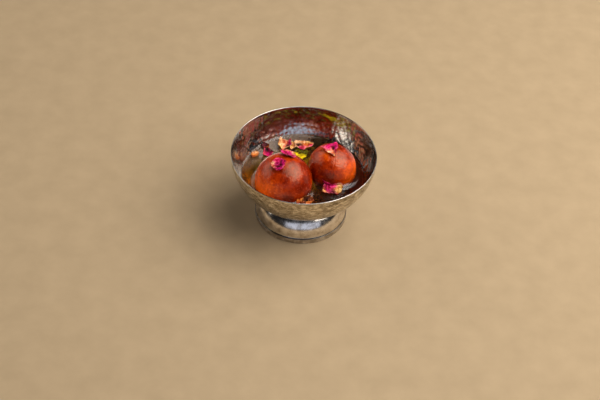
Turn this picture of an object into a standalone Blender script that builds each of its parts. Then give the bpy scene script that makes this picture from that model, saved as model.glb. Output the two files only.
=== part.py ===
"""Gulab jamun: two fried milk dumplings in syrup, dressed with dried rose petals, in a footed metal bowl.

The bowl is two sheet-metal pieces: a cup and a foot ring that is soldered under it.
The syrup is one solid up to its level, cut round the dumplings. Lengths here are in millimetres,
and every mesh is scaled to metres as it is made. The origin is on the table, under the bowl's centre.
"""
import math

import bmesh
import bpy
from mathutils import Matrix, Vector

METRES = 0.001
GAP = 0.3  # left between pieces that touch

# The bowl's cup: a half ellipsoid with an even wall and a rounded lip.
RIM_RADIUS = 54.0
RIM_HEIGHT = 59.8
CUP_DEPTH = 44.8
CUP_WALL = 1.2
LIP_HEIGHT = 0.5
LIP_STEPS = 4
CUP_STEPS = 10

# The foot: an upright band on the table, a small step, and a domed skirt up to the cup.
FOOT_RADIUS = 35.0
FOOT_BAND = 4.6
FOOT_STEP = 0.6
FOOT_WALL = 1.0
FOOT_LIP = 2.0
DOME_RADIUS = 19.9
DOME_CENTRE_RADIUS = 14.5
DOME_STEPS = 7
DOME_ANGLE_FROM = 30.0  # the search for the dome's upper end starts here, in degrees
DOME_ANGLE_STEP = 0.25
DOME_CLEARANCE = 1.3 * GAP  # left between the dome's upper end and the cup

TURNED_SEGMENTS = 56

# The contents.
SYRUP_LEVEL = 37.2
SYRUP_STEPS = 8
SYRUP_WALL_GAP = 0.45  # wider than GAP, because the cup's flat facets cut across its curve
BALL_SEGMENTS = 28
BALL_RINGS = 14
LARGE_BALL = {"centre": Vector((-13.9, -12.0, 42.2)), "radius": 21.15, "flat": 0.03, "phase": 0.6}
SMALL_BALL = {"centre": Vector((21.6, 6.6, 41.4)), "radius": 18.45, "flat": 0.02, "phase": 2.3}
BALLS = (LARGE_BALL, SMALL_BALL)
LUMP = 0.012  # height of the two lumps round a dumpling, as a share of its radius
LEAN = 0.010  # how far its upper half leans to one side

# Dried petals. A place on one is (u, v): u from -1 to 1 across it, and v from 0 at its base to 1 at its tip.
PETAL_THICKNESS = 0.5
PETAL_ROWS = 6
PETAL_COLUMNS = 6
PETAL_WIDEST = 0.625  # v at which the petal has widened out
PETAL_NARROWS = 0.6  # v from which it narrows to its tip
TIP_ROUNDING = 0.12  # how far the tip's corners are set back, as a share of the length
RAGGED = 0.10  # how far the sides waver, as a share of the width
RAGGED_WAVE = (2.0, 7.0, 2.3)  # its rate with u, with v, and with the petal's phase
CRUMPLE_WAVES = ((4.1, 3.7, 1.0), (-2.9, 5.3, 2.0))  # two crossing waves, with the same three rates

COLOURS = {
    "steel": ((0.56, 0.53, 0.50), 0.3, 1.0),
    "syrup": ((0.28, 0.08, 0.015), 0.06, 0.0),
    "dough": ((0.36, 0.075, 0.014), 0.3, 0.0),
    "rose": ((0.50, 0.05, 0.14), 0.6, 0.0),
    "cream": ((0.75, 0.42, 0.24), 0.6, 0.0),
    "maroon": ((0.16, 0.02, 0.03), 0.6, 0.0),
    "russet": ((0.30, 0.09, 0.03), 0.6, 0.0),
}


def material(name):
    """One Principled material for each finish, made once and shared."""
    found = bpy.data.materials.get(name)
    if found:
        return found
    colour, roughness, metallic = COLOURS[name]
    made = bpy.data.materials.new(name)
    made.use_nodes = True
    shader = made.node_tree.nodes["Principled BSDF"]
    shader.inputs["Base Color"].default_value = (*colour, 1.0)
    shader.inputs["Roughness"].default_value = roughness
    shader.inputs["Metallic"].default_value = metallic
    made.diffuse_color = (*colour, 1.0)
    return made


def add_object(name, bm, finish):
    """Turn a bmesh in millimetres into a smooth-shaded object in metres."""
    bmesh.ops.recalc_face_normals(bm, faces=bm.faces)
    bmesh.ops.scale(bm, verts=bm.verts, vec=(METRES, METRES, METRES))
    mesh = bpy.data.meshes.new(name)
    bm.to_mesh(mesh)
    bm.free()
    mesh.shade_smooth()
    mesh.set_sharp_from_angle(angle=math.radians(40))
    mesh.materials.append(material(finish))
    made = bpy.data.objects.new(name, mesh)
    bpy.context.scene.collection.objects.link(made)
    return made


def arc(centre, radii, start, end, steps):
    """Points (radius, height) along an elliptical arc, angles in degrees from the outward direction."""
    points = []
    for step in range(steps + 1):
        angle = math.radians(start + (end - start) * step / steps)
        points.append((centre[0] + radii[0] * math.cos(angle), centre[1] + radii[1] * math.sin(angle)))
    return points


def turned(name, outline, closed, finish):
    """Spin an outline of (radius, height) points about Z into one closed body."""
    bm = bmesh.new()
    corners = [bm.verts.new((radius, 0.0, height)) for radius, height in outline]
    lines = [bm.edges.new(pair) for pair in zip(corners, corners[1:])]
    if closed:
        lines.append(bm.edges.new((corners[-1], corners[0])))
    bmesh.ops.spin(
        bm, geom=corners + lines, cent=(0, 0, 0), axis=(0, 0, 1),
        angle=math.tau, steps=TURNED_SEGMENTS, use_merge=True,
    )
    bmesh.ops.remove_doubles(bm, verts=bm.verts, dist=0.001)
    return add_object(name, bm, finish)


def cup():
    """Down the outside from the lip to the lowest point, then back up the inside."""
    lip_middle = RIM_RADIUS - CUP_WALL / 2
    shoulder = RIM_HEIGHT - LIP_HEIGHT
    lip = arc((lip_middle, shoulder), (CUP_WALL / 2, LIP_HEIGHT), 180, 0, LIP_STEPS)
    depth = CUP_DEPTH - LIP_HEIGHT
    outside = arc((0, shoulder), (RIM_RADIUS, depth), 0, -90, CUP_STEPS)
    inside = arc((0, shoulder), (RIM_RADIUS - CUP_WALL, depth - CUP_WALL), -90, 0, CUP_STEPS)
    return turned("cup", lip + outside[1:] + inside[:-1], True, "steel")


def cup_outside_height(radius):
    """Height of the cup's outer skin above the table at a given radius."""
    depth = CUP_DEPTH - LIP_HEIGHT
    return RIM_HEIGHT - LIP_HEIGHT - depth * math.sqrt(1 - (radius / RIM_RADIUS) ** 2)


def dome_end_angle():
    """Angle up the dome, in degrees, at which its outer skin comes within the gap of the cup."""
    angle = DOME_ANGLE_FROM
    clearance = RIM_HEIGHT
    while clearance > DOME_CLEARANCE:
        angle += DOME_ANGLE_STEP
        radius = DOME_CENTRE_RADIUS + DOME_RADIUS * math.cos(math.radians(angle))
        height = FOOT_BAND + DOME_RADIUS * math.sin(math.radians(angle))
        clearance = cup_outside_height(radius) - height
    return angle


def foot():
    """Up the outside from the table to the cup, then back down inside to the flat resting lip."""
    end = dome_end_angle()
    centre = (DOME_CENTRE_RADIUS, FOOT_BAND)
    outer = arc(centre, (DOME_RADIUS, DOME_RADIUS), 0, end, DOME_STEPS)
    inner_radius = DOME_RADIUS - FOOT_WALL
    inner = arc(centre, (inner_radius, inner_radius), end, 0, DOME_STEPS)
    band = [
        (FOOT_RADIUS - FOOT_LIP, 0.0),
        (FOOT_RADIUS, 0.0),
        (FOOT_RADIUS, FOOT_BAND - FOOT_STEP / 2),
    ]
    return turned("foot_ring", band + outer + inner, True, "steel")


def ball_radius(ball, direction):
    """Radius of a hand-rolled dumpling: slightly flattened, with two soft lumps round it."""
    azimuth = math.atan2(direction.y, direction.x)
    height = direction.z
    flattened = -ball["flat"] * height * height
    lumps = LUMP * math.cos(2 * azimuth + ball["phase"]) * (1 - height * height)
    lean = LEAN * height * math.cos(azimuth - ball["phase"])
    return ball["radius"] * (1 + flattened + lumps + lean)


def dumpling(name, ball, growth=0.0):
    """A dumpling, or with growth the hollow that it leaves in the syrup."""
    bm = bmesh.new()
    bmesh.ops.create_uvsphere(bm, u_segments=BALL_SEGMENTS, v_segments=BALL_RINGS, radius=1.0)
    for vert in bm.verts:
        direction = vert.co.normalized()
        vert.co = ball["centre"] + direction * (ball_radius(ball, direction) + growth)
    return add_object(name, bm, "dough")


def syrup(hollows):
    """A flat-topped body that fills the cup to its level, less the dumplings."""
    shoulder = RIM_HEIGHT - LIP_HEIGHT
    depth = CUP_DEPTH - LIP_HEIGHT - CUP_WALL - SYRUP_WALL_GAP
    radius = RIM_RADIUS - CUP_WALL - SYRUP_WALL_GAP
    start = math.degrees(math.asin((SYRUP_LEVEL - shoulder) / depth))
    side = arc((0, shoulder), (radius, depth), start, -90, SYRUP_STEPS)
    body = turned("syrup", [(0.0, SYRUP_LEVEL)] + side, False, "syrup")
    for hollow in hollows:
        hollow.hide_render = True
        hollow.display_type = "WIRE"
        cut = body.modifiers.new(hollow.name, "BOOLEAN")
        cut.operation = "DIFFERENCE"
        cut.solver = "EXACT"
        cut.object = hollow
    return body


def settled(point):
    """Lift a point until it is clear of the syrup and of both dumplings."""
    point.z = max(point.z, SYRUP_LEVEL + GAP)
    for ball in BALLS:
        offset = point - ball["centre"]
        direction = offset.normalized()
        least = ball_radius(ball, direction) + GAP
        if offset.length < least:
            point = ball["centre"] + direction * least
    return point


def petal_frame(place, ball, heading):
    """Where a petal lies: its middle, and its across, along and up directions."""
    if ball:
        out = Vector((place[0], place[1], 0)) - Vector((ball["centre"].x, ball["centre"].y, 0))
        up = Vector((out.x, out.y, math.sqrt(ball["radius"] ** 2 - out.length_squared))).normalized()
        middle = ball["centre"] + up * ball_radius(ball, up)
    else:
        up = Vector((0, 0, 1))
        middle = Vector((place[0], place[1], SYRUP_LEVEL))
    turn = math.radians(heading)
    along = Vector((math.cos(turn), math.sin(turn), 0))
    along = (along - up * along.dot(up)).normalized()
    return Matrix((along.cross(up), along, up)).transposed(), middle


def pleat(angle):
    """A wave with straight flanks and sharp crests."""
    return math.asin(math.sin(angle)) * 2 / math.pi


def wave(rates, u, v, phase):
    """The angle of a wave at a place on a petal."""
    return rates[0] * u + rates[1] * v + rates[2] * phase


def petal_width(v, base, straight, tip):
    """Share of a petal's width at v: from its base it swells out, or widens evenly, and then narrows."""
    swell = math.sin(math.pi / 2 * min(v / PETAL_WIDEST, 1))
    opened = straight * v + (1 - straight) * swell
    narrowed = max(0, (v - PETAL_NARROWS) / (1 - PETAL_NARROWS)) ** 2
    return base + (1 - base) * opened - (1 - tip) * narrowed


def petal(name, finish, place, heading, length, width, ball=None, base=0.35, straight=0.0, tip=0.6, point=0.0,
          pinch=0.0, cup_up=1.5, curl=1.5, fold=0.0, crumple=0.5, phase=0.0, lift=0.0, lean=0.0):
    """A dried petal: narrow at its base, wide towards its tip, cupped, curled and crumpled.

    base and tip are the widths there against the widest, straight how evenly it widens, point how far
    the tip's corners stick out, and pinch how much shorter one side is. cup_up is the height of the side
    edges, curl that of the tip, fold that of a crease down the middle, lift that of the base, and lean how
    much higher one side lies than the other.
    """
    sheet = []
    for row in range(PETAL_ROWS + 1):
        v = row / PETAL_ROWS
        spread = petal_width(v, base, straight, tip)
        line = []
        for column in range(PETAL_COLUMNS + 1):
            u = 2 * column / PETAL_COLUMNS - 1
            ragged = 1 + RAGGED * math.sin(wave(RAGGED_WAVE, u, v, phase))
            across = width / 2 * u * spread * ragged
            corner = point * abs(u) ** 3 * v ** 4 - TIP_ROUNDING * u * u * v
            forward = length * ((v - 0.5) * (1 - pinch * max(0, u) ** 2) + corner)
            rise = cup_up * u * u + curl * (2 * max(0, v - 0.5)) ** 2 + lift * (1 - v) ** 2
            rise += fold * (1 - abs(u)) * math.sin(math.pi * v) + lean * u / 2
            first, second = (wave(rates, u, v, phase) for rates in CRUMPLE_WAVES)
            rise += crumple * pleat(first) * pleat(second + math.pi / 2)
            line.append(Vector((across, forward, rise)))
        sheet.append(line)
    lowest = min(spot.z for line in sheet for spot in line)
    turn, middle = petal_frame(place, ball, heading)
    rows = []
    for line in sheet:
        for spot in line:
            drop = (spot.x ** 2 + spot.y ** 2) / (2 * ball["radius"]) if ball else 0.0
            spot.z += GAP - lowest - drop
        rows.append([settled(middle + turn @ spot) for spot in line])
    return petal_solid(name, rows, turn @ Vector((0, 0, 1)), finish)


def petal_solid(name, rows, up, finish):
    """Give a grid of points a thickness on its upper side, and close its edge."""
    last_row = len(rows) - 1
    last_column = len(rows[0]) - 1
    bm = bmesh.new()
    lower = []
    upper = []
    for r, line in enumerate(rows):
        low_line = []
        high_line = []
        for c, point in enumerate(line):
            across = line[min(c + 1, last_column)] - line[max(c - 1, 0)]
            along = rows[min(r + 1, last_row)][c] - rows[max(r - 1, 0)][c]
            normal = across.cross(along).normalized()
            if normal.dot(up) < 0:
                normal.negate()
            normal = (normal + up).normalized()
            low_line.append(bm.verts.new(point))
            high_line.append(bm.verts.new(point + normal * PETAL_THICKNESS))
        lower.append(low_line)
        upper.append(high_line)
    for r in range(last_row):
        for c in range(last_column):
            bm.faces.new((lower[r][c], lower[r + 1][c], lower[r + 1][c + 1], lower[r][c + 1]))
            bm.faces.new((upper[r][c], upper[r][c + 1], upper[r + 1][c + 1], upper[r + 1][c]))
    ring = [(0, c) for c in range(last_column)]
    ring += [(r, last_column) for r in range(last_row)]
    ring += [(last_row, c) for c in range(last_column, 0, -1)]
    ring += [(r, 0) for r in range(last_row, 0, -1)]
    for (r0, c0), (r1, c1) in zip(ring, ring[1:] + ring[:1]):
        bm.faces.new((lower[r0][c0], lower[r1][c1], upper[r1][c1], upper[r0][c0]))
    return add_object(name, bm, finish)


def garnish():
    """The petals on the dumplings, those afloat behind and beside them, and a russet scrap in front."""
    petal("petal_crown", "rose", (-18.2, -16.6), -20, 10.5, 10.5, LARGE_BALL,
          tip=0.75, point=0.10, cup_up=1.0, curl=1.2, crumple=0.8, phase=0.4)
    petal("petal_ridge", "rose", (-11.8, -4.7), -40, 13.0, 9.0, LARGE_BALL,
          tip=0.7, cup_up=1.4, curl=0.6, crumple=0.7, phase=1.9, lift=1.2)
    petal("petal_triangle", "rose", (20.2, 5.5), 112, 12.5, 13.5, SMALL_BALL,
          base=0.10, straight=0.8, tip=1.0, point=0.16, cup_up=1.3, curl=1.0, crumple=0.5, phase=3.0)
    petal("petal_cream", "cream", (-15.3, 32.1), 78, 9.5, 10.5,
          tip=0.8, point=0.15, cup_up=2.4, curl=2.0, crumple=0.5, phase=0.9)
    petal("petal_double", "cream", (-0.7, 33.6), 94, 8.5, 15.5,
          tip=0.8, pinch=0.5, cup_up=1.2, curl=1.6, fold=1.2, crumple=0.4, phase=2.2)
    petal("petal_maroon", "maroon", (-29.9, 29.8), 60, 5.5, 6.5,
          tip=0.7, cup_up=1.8, curl=0.8, crumple=0.3, phase=1.2)
    petal("petal_side", "rose", (-27.4, 22.6), -75, 9.0, 7.6,
          tip=0.8, cup_up=1.2, curl=0.8, crumple=0.4, phase=0.2, lift=0.6)
    petal("petal_scrap", "russet", (-37.2, 19.0), 40, 7.0, 5.5,
          tip=0.6, cup_up=1.0, curl=1.0, crumple=0.5, phase=2.7)
    petal("petal_front", "rose", (22.8, -12.9), 172, 14.0, 13.0,
          tip=0.8, point=0.15, cup_up=1.0, curl=1.2, fold=1.0, crumple=0.8, phase=1.4, lean=3.8)
    petal("russet_scrap", "russet", (2.6, -29.6), 10, 12.5, 7.5,
          tip=0.7, cup_up=0.8, curl=0.8, crumple=1.0, phase=0.7, lean=-2.6)


def build():
    """Clear the scene, then make the bowl, its contents and the garnish."""
    for old in list(bpy.data.objects):
        bpy.data.objects.remove(old, do_unlink=True)
    cup()
    foot()
    dumpling("jamun_large", LARGE_BALL)
    dumpling("jamun_small", SMALL_BALL)
    syrup([dumpling("hollow_large", LARGE_BALL, GAP), dumpling("hollow_small", SMALL_BALL, GAP)])
    garnish()


build()
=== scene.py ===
import math

import bmesh
import bpy
from mathutils import Matrix, Vector, noise


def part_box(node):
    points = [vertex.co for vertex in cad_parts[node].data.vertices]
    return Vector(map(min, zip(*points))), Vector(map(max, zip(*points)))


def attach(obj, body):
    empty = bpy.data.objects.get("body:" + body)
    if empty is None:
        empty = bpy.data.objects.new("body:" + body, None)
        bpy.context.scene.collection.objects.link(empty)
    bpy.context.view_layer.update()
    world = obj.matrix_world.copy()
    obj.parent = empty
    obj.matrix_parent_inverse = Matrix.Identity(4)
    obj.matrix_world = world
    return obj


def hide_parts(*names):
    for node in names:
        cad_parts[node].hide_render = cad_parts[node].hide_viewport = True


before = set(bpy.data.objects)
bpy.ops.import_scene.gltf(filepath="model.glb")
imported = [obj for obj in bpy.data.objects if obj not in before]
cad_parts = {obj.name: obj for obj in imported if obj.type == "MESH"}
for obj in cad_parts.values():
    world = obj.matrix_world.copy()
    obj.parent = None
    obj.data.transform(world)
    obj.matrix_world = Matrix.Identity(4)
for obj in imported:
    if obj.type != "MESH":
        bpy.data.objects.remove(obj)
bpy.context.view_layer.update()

MM = 0.001

# ---------------------------------------------------------------------------------------------
# The cup: a half-ellipsoid bowl of thin steel, spun to shape and rolled over at the lip.
# Its inside is planished with a small round-faced hammer and polished, and its outside is brushed.
# ---------------------------------------------------------------------------------------------
CUP_WALL = 1.2 * MM
LIP_WALL = 0.7 * MM  # the wall is drawn thinner at the lip
LIP_FLARE = 3.0 * MM  # depth over which it reaches its full thickness
LIP_HEIGHT = 0.5 * MM
CUP_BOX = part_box("cup")
RIM_RADIUS = CUP_BOX[1].x
SHOULDER = CUP_BOX[1].z - LIP_HEIGHT
OUTER_DEPTH = SHOULDER - CUP_BOX[0].z
INNER_RADIUS = RIM_RADIUS - CUP_WALL
INNER_DEPTH = OUTER_DEPTH - CUP_WALL
SYRUP_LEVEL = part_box("syrup")[1].z

DIMPLE_SIZE = 3.7 * MM
DIMPLE_CURVE = 19.0  # how fast a dimple deepens: metres of depth for each square metre
MARKS_GROW = 1.2 * MM  # depth over which the marks grow below the lip, and fade again in the syrup
PLAIN_LIP = 0.1  # share of that depth that has no marks
MARKS_FADE = 0.9  # share of the marks that is planished away on the floor, under the syrup
LEAST_HAMMERED = 0.03  # share of the marks that the lip and the floor keep

POLISHED_LIP = 0.4 * MM  # the polish goes over the lip and this far down the outside
POLISHED = (0.10, 0.22)  # roughness of the inside, from bright to smudged
DULLED_WHEN_WET = 0.14  # added to it below the syrup's level
BRUSHED = (0.20, 0.36)  # roughness of the outside
INNER_TONES = [(0.30, (0.38, 0.34, 0.30)), (0.60, (0.63, 0.60, 0.56))]  # tarnished to clean
OUTER_TONES = [(0.38, (0.20, 0.155, 0.095)), (0.50, (0.51, 0.43, 0.32)), (0.61, (0.90, 0.82, 0.68))]


def set_inputs(tree, node, inputs):
    """Give a node its inputs: one that is a socket is linked, and any other is a value."""
    for name, value in inputs.items():
        if isinstance(value, bpy.types.NodeSocket):
            tree.links.new(value, node.inputs[name])
        else:
            node.inputs[name].default_value = value


def add_node(tree, kind, inputs=None, **settings):
    """A new node with its settings and its inputs made."""
    made = tree.nodes.new(kind)
    for name, value in settings.items():
        setattr(made, name, value)
    set_inputs(tree, made, inputs or {})
    return made


def sum_of(tree, operation, *values):
    """The result of one Math node."""
    return add_node(tree, "ShaderNodeMath", dict(enumerate(values)), operation=operation).outputs[0]


def moved_by(tree, vector, offset):
    """A vector with another added to it."""
    return add_node(tree, "ShaderNodeVectorMath", {0: vector, 1: offset}, operation="ADD").outputs[0]


def scaled_by(tree, vector, factor):
    """A vector made longer or shorter by a factor."""
    return add_node(tree, "ShaderNodeVectorMath", {0: vector, "Scale": factor}, operation="SCALE").outputs[0]


def part_of(tree, vector, axis):
    """The X, Y or Z of a vector."""
    return add_node(tree, "ShaderNodeSeparateXYZ", {"Vector": vector}).outputs[axis]


def span_of(tree, value, low, high, to_low=0.0, to_high=1.0):
    """Map a value from one span to another, held at both ends."""
    inputs = {"Value": value, "From Min": low, "From Max": high, "To Min": to_low, "To Max": to_high}
    return add_node(tree, "ShaderNodeMapRange", inputs, clamp=True).outputs["Result"]


def ramp_of(tree, factor, stops):
    """A colour ramp through stops of (place, colour)."""
    made = add_node(tree, "ShaderNodeValToRGB", {"Fac": factor})
    band = made.color_ramp.elements
    while len(band) < len(stops):
        band.new(0.5)
    for element, (place, colour) in zip(band, stops):
        element.position = place
        element.color = (*colour, 1.0)
    return made.outputs["Color"]


def mix_of(tree, kind, factor, low, high):
    """A blend of two numbers ("FLOAT") or two colours ("RGBA"), from low at a factor of 0 to high at 1."""
    made = add_node(tree, "ShaderNodeMix", {"Factor": factor, "A": low, "B": high}, data_type=kind)
    return made.outputs["Result"]


def clouds_of(tree, where, scale, detail, roughness=0.5, distortion=0.0):
    """Cloudy noise about 0.5, with a number of clouds to the metre."""
    return add_node(tree, "ShaderNodeTexNoise", {
        "Vector": where, "Scale": scale, "Detail": detail, "Roughness": roughness, "Distortion": distortion,
    }).outputs[0]


def streaks_of(tree, where, scales, detail, roughness=0.5):
    """Cloudy noise with its own number of clouds to the metre along each axis."""
    stretched = add_node(tree, "ShaderNodeMapping", {"Vector": where, "Scale": scales}).outputs[0]
    return clouds_of(tree, stretched, 1.0, detail, roughness)


def bump_of(tree, height, strength, distance):
    """Fine relief for a shader's Normal."""
    inputs = {"Strength": strength, "Distance": distance, "Height": height}
    return add_node(tree, "ShaderNodeBump", inputs).outputs[0]


def new_tree(name, sockets):
    """A geometry tree with its named inputs, as {name: (socket type, value)}."""
    tree = bpy.data.node_groups.new(name, "GeometryNodeTree")
    tree.interface.new_socket("Geometry", in_out="INPUT", socket_type="NodeSocketGeometry")
    for label, (kind, value) in sockets.items():
        made = tree.interface.new_socket(label, in_out="INPUT", socket_type="NodeSocket" + kind)
        if value is not None:
            made.default_value = value
    tree.interface.new_socket("Geometry", in_out="OUTPUT", socket_type="NodeSocketGeometry")
    return tree, tree.nodes.new("NodeGroupInput").outputs


def pushed_out(tree, geometry, height):
    """A skin with each of its points moved outwards by a height."""
    normal = add_node(tree, "GeometryNodeInputNormal").outputs[0]
    return add_node(tree, "GeometryNodeSetPosition", {
        "Geometry": geometry, "Offset": scaled_by(tree, normal, height),
    }).outputs[0]


def end_tree(tree, geometry, material):
    """Make instances real, shade the faces smooth, set the material, and end the tree."""
    real = add_node(tree, "GeometryNodeRealizeInstances", {"Geometry": geometry})
    smooth = add_node(tree, "GeometryNodeSetShadeSmooth", {"Geometry": real.outputs[0]})
    dressed = add_node(tree, "GeometryNodeSetMaterial", {"Geometry": smooth.outputs[0], "Material": material})
    add_node(tree, "NodeGroupOutput", {"Geometry": dressed.outputs[0]})


def shape_with(piece, tree, **values):
    """Run a geometry tree on a piece and keep the plain mesh that it makes."""
    modifier = piece.modifiers.new(tree.name, "NODES")
    modifier.node_group = tree
    for item in tree.interface.items_tree:
        key = item.name.lower().replace(" ", "_")
        if item.in_out == "INPUT" and key in values:
            modifier[item.identifier] = values[key]
    graph = bpy.context.evaluated_depsgraph_get()
    shaped = bpy.data.meshes.new_from_object(
        piece.evaluated_get(graph), preserve_all_data_layers=True, depsgraph=graph,
    )
    piece.modifiers.remove(modifier)
    piece.data = shaped


def new_material(name):
    """A material, with its tree, its Principled shader and the place of each point on the piece."""
    made = bpy.data.materials.new(name)
    made.use_nodes = True
    tree = made.node_tree
    where = add_node(tree, "ShaderNodeTexCoord").outputs["Object"]
    return made, tree, tree.nodes["Principled BSDF"], where


def new_piece(name, mesh):
    """An object at the origin that shows a mesh."""
    piece = bpy.data.objects.new(name, mesh)
    bpy.context.scene.collection.objects.link(piece)
    return piece


def held(value):
    """A number held between 0 and 1."""
    return max(0.0, min(1.0, value))


def arc(centre, radii, start, end, steps):
    """Points (radius, height) along an elliptical arc, angles in degrees from the outward direction."""
    turns = [math.radians(start + (end - start) * step / steps) for step in range(steps + 1)]
    return [(centre[0] + radii[0] * math.cos(t), centre[1] + radii[1] * math.sin(t)) for t in turns]


def outline_mesh(name, points, hammered=None):
    """An outline of (radius, height) points, with a share of hammering noted at each."""
    mesh = bpy.data.meshes.new(name)
    mesh.from_pydata([(r, 0.0, z) for r, z in points], [(i, i + 1) for i in range(len(points) - 1)], [])
    share = mesh.attributes.new("hammered", "FLOAT", "POINT")
    share.data.foreach_set("value", hammered or [0.0] * len(points))
    return mesh


def spinning_tree():
    """Spins an outline about the upright axis into one closed skin."""
    tree, given = new_tree("spin_outline", {
        "Segments": ("Int", 360),
        "Merge Distance": ("Float", 0.005 * MM),
        "Material": ("Material", None),
    })
    outline = given["Geometry"]
    size = add_node(tree, "GeometryNodeAttributeDomainSize", {"Geometry": outline}, component="MESH")
    count = size.outputs["Point Count"]
    sheet = add_node(tree, "GeometryNodeMeshGrid", {
        "Size X": 1.0, "Size Y": 1.0,
        "Vertices X": sum_of(tree, "ADD", given["Segments"], 1), "Vertices Y": count,
    })
    place = add_node(tree, "GeometryNodeInputPosition").outputs[0]
    turn = sum_of(tree, "MULTIPLY", sum_of(tree, "ADD", part_of(tree, place, "X"), 0.5), math.tau)
    last = sum_of(tree, "SUBTRACT", count, 1)
    up_the_sheet = sum_of(tree, "ADD", part_of(tree, place, "Y"), 0.5)
    index = sum_of(tree, "ROUND", sum_of(tree, "MULTIPLY", up_the_sheet, last))
    corner = add_node(tree, "GeometryNodeSampleIndex", {
        "Geometry": outline, "Value": place, "Index": index,
    }, data_type="FLOAT_VECTOR").outputs[0]
    share = add_node(tree, "GeometryNodeSampleIndex", {
        "Geometry": outline,
        "Value": add_node(tree, "GeometryNodeInputNamedAttribute", {"Name": "hammered"}).outputs[0],
        "Index": index,
    }).outputs[0]
    radius = part_of(tree, corner, "X")
    spun = add_node(tree, "ShaderNodeCombineXYZ", {
        "X": sum_of(tree, "MULTIPLY", radius, sum_of(tree, "COSINE", turn)),
        "Y": sum_of(tree, "MULTIPLY", radius, sum_of(tree, "SINE", turn)),
        "Z": part_of(tree, corner, "Z"),
    })
    noted = add_node(tree, "GeometryNodeStoreNamedAttribute", {
        "Geometry": sheet.outputs["Mesh"], "Name": "hammered", "Value": share,
    })
    bent = add_node(tree, "GeometryNodeSetPosition", {
        "Geometry": noted.outputs[0], "Position": spun.outputs[0],
    })
    closed = add_node(tree, "GeometryNodeMergeByDistance", {
        "Geometry": bent.outputs[0], "Distance": given["Merge Distance"],
    })
    end_tree(tree, closed.outputs[0], given["Material"])
    return tree


def hammering_tree():
    """Planishes the hammered share of a skin: round dimples that meet in soft ridges."""
    tree, given = new_tree("hammer_marks", {
        "Dimple Size": ("Float", DIMPLE_SIZE),
        "Dimple Curve": ("Float", DIMPLE_CURVE),
        "Waviness": ("Float", 0.05 * MM),
        "Wave Scale": ("Float", 0.22),
        "Seed": ("Float", 3.0),
        "Material": ("Material", None),
    })
    place = add_node(tree, "GeometryNodeInputPosition").outputs[0]
    in_dimples = scaled_by(tree, place, sum_of(tree, "DIVIDE", 1.0, given["Dimple Size"]))
    seeded = add_node(tree, "ShaderNodeCombineXYZ", {"X": given["Seed"], "Y": given["Seed"], "Z": 0.0})
    moved = moved_by(tree, in_dimples, seeded.outputs[0])
    marks = add_node(tree, "ShaderNodeTexVoronoi", {
        "Vector": moved, "Scale": 1.0, "Randomness": 0.8, "Smoothness": 0.12,
    }, feature="SMOOTH_F1")
    reach = sum_of(tree, "MULTIPLY", marks.outputs["Distance"], given["Dimple Size"])
    ridge = sum_of(tree, "MULTIPLY", sum_of(tree, "MULTIPLY", reach, reach), given["Dimple Curve"])
    sway = sum_of(tree, "SUBTRACT", clouds_of(tree, moved, given["Wave Scale"], 1.0), 0.5)
    wave = sum_of(tree, "MULTIPLY", sway, given["Waviness"])
    share = add_node(tree, "GeometryNodeInputNamedAttribute", {"Name": "hammered"}).outputs[0]
    height = sum_of(tree, "MULTIPLY", sum_of(tree, "ADD", ridge, wave), share)
    end_tree(tree, pushed_out(tree, given["Geometry"], height), given["Material"])
    return tree


def bowl_steel():
    """Polished and smudged inside and duller where it is wet, brushed outside, with streaks that are partly
    darkened with age and partly a painted reflection of a streaky floor.
    """
    material, tree, shader, where = new_material("bowl_steel")
    height = part_of(tree, where, "Z")
    hammered = add_node(tree, "ShaderNodeAttribute", attribute_name="hammered").outputs["Fac"]
    on_lip = span_of(tree, height, SHOULDER - POLISHED_LIP, SHOULDER)
    inside = sum_of(tree, "MAXIMUM", span_of(tree, hammered, 0.0, LEAST_HAMMERED), on_lip)
    lines = streaks_of(tree, where, (60.0, 60.0, 2600.0), 3.0)
    patina_and_painted_reflection = streaks_of(tree, where, (260.0, 260.0, 620.0), 4.0, 0.75)
    clouds = clouds_of(tree, where, 95.0, 4.0, 0.6)
    specks = clouds_of(tree, where, 620.0, 3.0, 0.7)
    wet = span_of(tree, height, SYRUP_LEVEL, SYRUP_LEVEL + 1 * MM, DULLED_WHEN_WET, 0.0)
    smudged = sum_of(tree, "ADD", span_of(tree, clouds, 0.35, 0.7, *POLISHED), wet)
    satin = span_of(tree, lines, 0.3, 0.7, *BRUSHED)
    # painted reflection: the outside's streaky tones are partly patina and partly stand for a reflected
    # streaky floor
    outer = ramp_of(tree, patina_and_painted_reflection, OUTER_TONES)
    inner = ramp_of(tree, specks, INNER_TONES)
    grooves = sum_of(tree, "MULTIPLY", lines, sum_of(tree, "SUBTRACT", 1.0, inside))
    set_inputs(tree, shader, {
        "Base Color": mix_of(tree, "RGBA", inside, outer, inner),
        "Metallic": 1.0,
        "Roughness": mix_of(tree, "FLOAT", inside, satin, smudged),
        "Normal": bump_of(tree, sum_of(tree, "ADD", grooves, patina_and_painted_reflection), 0.5, 0.06 * MM),
    })
    return material


spinning = spinning_tree()
hammering = hammering_tree()
steel = bowl_steel()


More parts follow.
